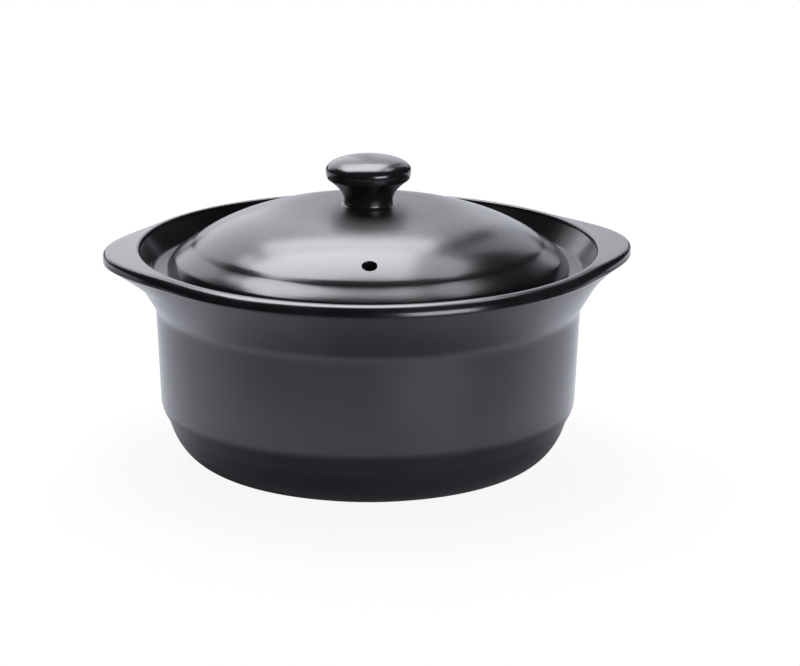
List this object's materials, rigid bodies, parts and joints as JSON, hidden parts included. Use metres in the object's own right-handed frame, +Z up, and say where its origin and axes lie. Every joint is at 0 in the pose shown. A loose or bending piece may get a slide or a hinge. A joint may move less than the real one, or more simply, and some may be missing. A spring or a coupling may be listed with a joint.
{
  "type": "lidded clay cooking pot",
  "caption": "Round black-glazed clay cooking pot with a flared collar, flat side ears and a domed lid with a mushroom knob and a steam hole.",
  "frame": {"origin": "centre of the foot, on the surface that the pot stands on", "axes": "+Z up along the pot's axis, +X through the right ear, -Y towards the side where the steam hole is"},
  "size_m": [0.185, 0.1692, 0.109],
  "materials": {
    "black_glaze": "satin black glaze on fired stoneware"
  },
  "bodies": {
    "pot": {"pot_body": "black_glaze", "left_ear": "black_glaze", "right_ear": "black_glaze"},
    "lid": {"lid": "black_glaze", "knob": "black_glaze"}
  },
  "joints": [
    {"name": "lid_lift", "type": "slide", "parent": "pot", "child": "lid", "axis": [0, 0, 1], "range_m": [0, 0.06]}
  ]
}
